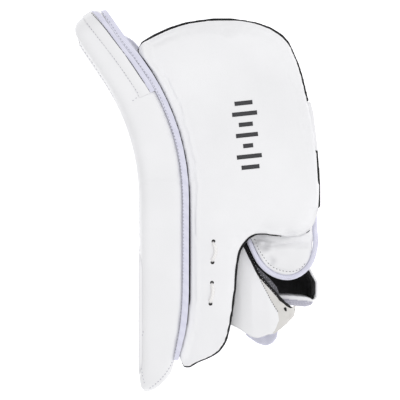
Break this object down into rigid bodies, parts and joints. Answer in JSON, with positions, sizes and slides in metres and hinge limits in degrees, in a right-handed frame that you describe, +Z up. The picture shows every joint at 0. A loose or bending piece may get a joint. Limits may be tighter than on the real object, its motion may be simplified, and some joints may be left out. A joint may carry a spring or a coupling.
{
  "type": "hockey goalie blocker",
  "caption": "Hockey goalie's blocker: a curved padded board with a laced thumb guard and an open cuffed glove behind it.",
  "frame": {"origin": "middle of the bounding box, on the floor it lies on", "axes": "+Z up, from the little-finger edge that it lies on to the thumb edge; +Y from the cuff to the fingertips; +X from the board's face to the palm"},
  "size_m": [0.251, 0.385, 0.2046],
  "materials": {
    "white_leather": "satin",
    "off_white_leather": "matte",
    "lavender_tape": "matte",
    "black_nylon": "matte",
    "grey_mesh": "matte",
    "grey_palm": "matte",
    "white_lace": "matte"
  },
  "bodies": {
    "root": {"board_body": "white_leather", "board_binding": "lavender_tape", "top_trim": "white_leather", "top_gusset": "lavender_tape", "sideboard_cover": "white_leather", "sideboard_backing": "black_nylon", "edge_tab": "off_white_leather", "lace": "white_lace", "palm_shell": "grey_palm", "thumb_stall": "grey_palm", "little_finger_stall": "grey_palm", "ring_finger_stall": "grey_palm", "middle_finger_stall": "grey_palm", "index_finger_stall": "grey_palm", "cuff_shell": "white_leather", "cuff_lining": "black_nylon", "cuff_tongue": "lavender_tape", "wrist_strap": "lavender_tape", "hook_strip": "grey_mesh", "hand_pad": "grey_palm", "thumb_flap": "white_leather", "flap_binding": "lavender_tape", "back_panel": "lavender_tape", "face_panel": "white_leather"}
  },
  "joints": []
}
